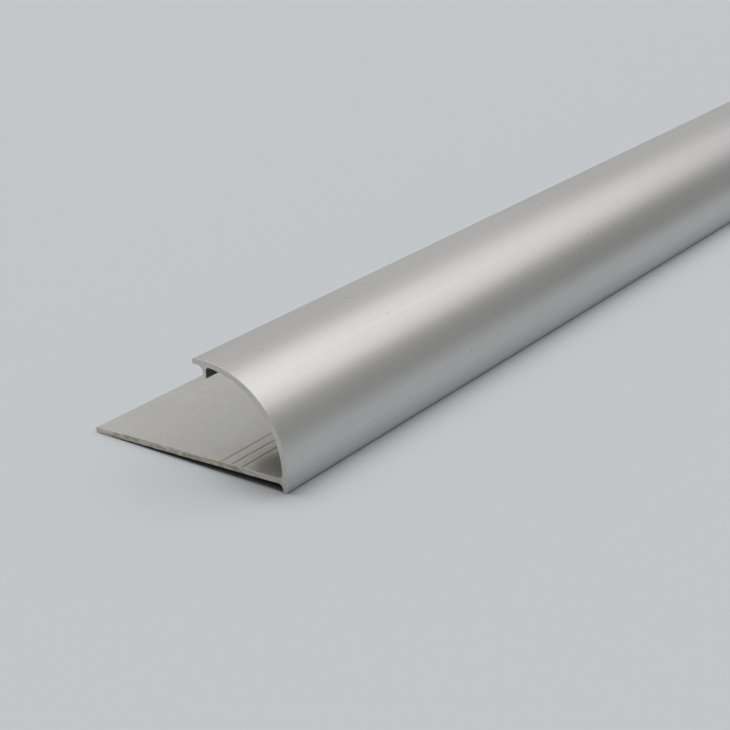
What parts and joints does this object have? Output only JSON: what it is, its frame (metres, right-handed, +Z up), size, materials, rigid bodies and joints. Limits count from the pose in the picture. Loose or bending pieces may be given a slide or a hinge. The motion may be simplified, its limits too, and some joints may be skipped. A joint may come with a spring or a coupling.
{
  "type": "aluminium tile trim profile",
  "caption": "Straight aluminium tile edge trim of open quarter-round section: thin bedding leg, rounded nose, and a lip with a small stop tooth; cut square at both ends.",
  "frame": {"origin": "centre of the piece's box, on the floor it lies on", "axes": "+X from the leg's tip towards the rounded nose, +Y along the length, +Z up as the piece lies on the foot of its nose and the tip of its leg"},
  "size_m": [0.0212, 1, 0.0097],
  "materials": {
    "satin_aluminium": "satin silver anodised outside, duller mill finish on the leg, sawn ends"
  },
  "bodies": {
    "root": {"trim_profile": "satin_aluminium"}
  },
  "joints": []
}
